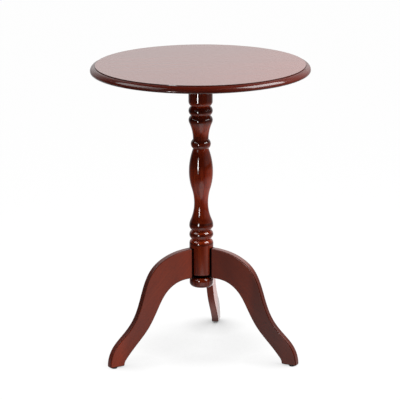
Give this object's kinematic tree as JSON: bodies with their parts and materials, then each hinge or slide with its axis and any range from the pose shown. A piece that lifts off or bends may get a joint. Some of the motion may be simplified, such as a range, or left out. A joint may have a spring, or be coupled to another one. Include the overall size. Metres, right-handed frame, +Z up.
{
  "type": "wine table",
  "caption": "Round moulded table top on a turned bead-and-vase column that stands on dovetailed S-curved legs with glides.",
  "frame": {"origin": "on the floor, on the axis of the column", "axes": "+Z up along the column; -Y towards the viewer, between the two front legs"},
  "size_m": [0.4999, 0.5, 0.682],
  "materials": {
    "mahogany_top": "gloss lacquer over red mahogany stain",
    "mahogany_column": "gloss lacquer over red mahogany stain",
    "mahogany_leg": "satin lacquer over red mahogany stain",
    "mahogany_block": "thin satin stain",
    "zinc_steel": "zinc plated",
    "black_plastic": "moulded"
  },
  "bodies": {
    "root": {"base_cap": "mahogany_column", "block_screw_1": "zinc_steel", "block_screw_2": "zinc_steel", "block_screw_3": "zinc_steel", "block_screw_4": "zinc_steel", "cap_bolt": "zinc_steel", "cap_washer": "zinc_steel", "column": "mahogany_column", "column_insert": "zinc_steel", "glide_back": "black_plastic", "glide_left": "black_plastic", "glide_nail_back": "zinc_steel", "glide_nail_left": "zinc_steel", "glide_nail_right": "zinc_steel", "glide_right": "black_plastic", "hanger_bolt": "zinc_steel", "leg_back": "mahogany_leg", "leg_left": "mahogany_leg", "leg_right": "mahogany_leg", "table_top": "mahogany_top", "tee_nut": "zinc_steel", "top_block": "mahogany_block"}
  },
  "joints": []
}
